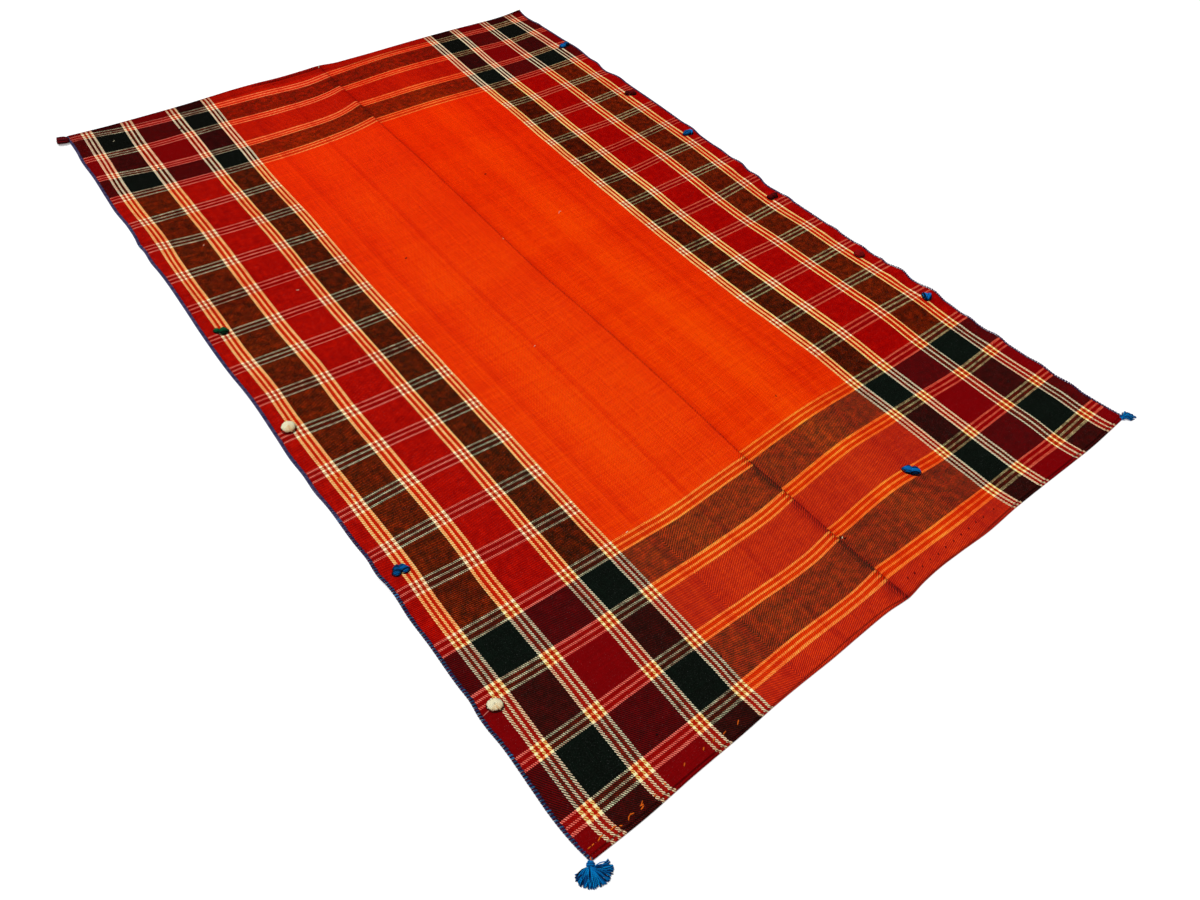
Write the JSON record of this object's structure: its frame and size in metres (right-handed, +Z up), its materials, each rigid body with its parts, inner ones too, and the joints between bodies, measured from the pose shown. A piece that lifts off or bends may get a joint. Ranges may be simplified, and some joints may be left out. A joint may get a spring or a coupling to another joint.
{
  "type": "jajim rug",
  "caption": "Flat-woven wool floor rug in plaid twill, laid flat: woven lengths sewn down the middle, overcast long edges, corner tassels and small yarn tufts.",
  "frame": {"origin": "on the floor under the middle of the rug's outer box, tassels included", "axes": "+X across the rug, from its left length to its right length; +Y along it, from its near end to its far end; +Z up from the floor"},
  "size_m": [1.5852, 2.4012, 0.0157],
  "materials": {
    "cloth": "flat-woven 2/2 wool twill with an orange field and a crimson, dark green and cream plaid border, slightly hairy, soft sheen",
    "edging_yarn": "blue, purple and crimson wool yarn, overcast side by side",
    "blue_yarn": "bright blue wool yarn, cut ends",
    "red_yarn": "dark red wool yarn",
    "cream_yarn": "undyed cream wool yarn",
    "green_yarn": "green wool yarn",
    "orange_yarn": "orange sewing yarn"
  },
  "bodies": {
    "root": {"panel_left": "cloth", "panel_right": "cloth", "edging_left": "edging_yarn", "edging_right": "edging_yarn", "tuft_left_1": "cream_yarn", "tuft_left_2": "blue_yarn", "tuft_left_3": "cream_yarn", "tuft_left_4": "green_yarn", "tuft_right_1": "blue_yarn", "tuft_right_2": "red_yarn", "tuft_right_3": "red_yarn", "tuft_right_4": "blue_yarn", "tuft_right_5": "red_yarn", "tuft_right_6": "blue_yarn", "tuft_middle": "blue_yarn", "tassel_near_left": "blue_yarn", "tassel_near_right": "blue_yarn", "tassel_far_left": "red_yarn", "tassel_far_right": "cream_yarn"}
  },
  "joints": []
}
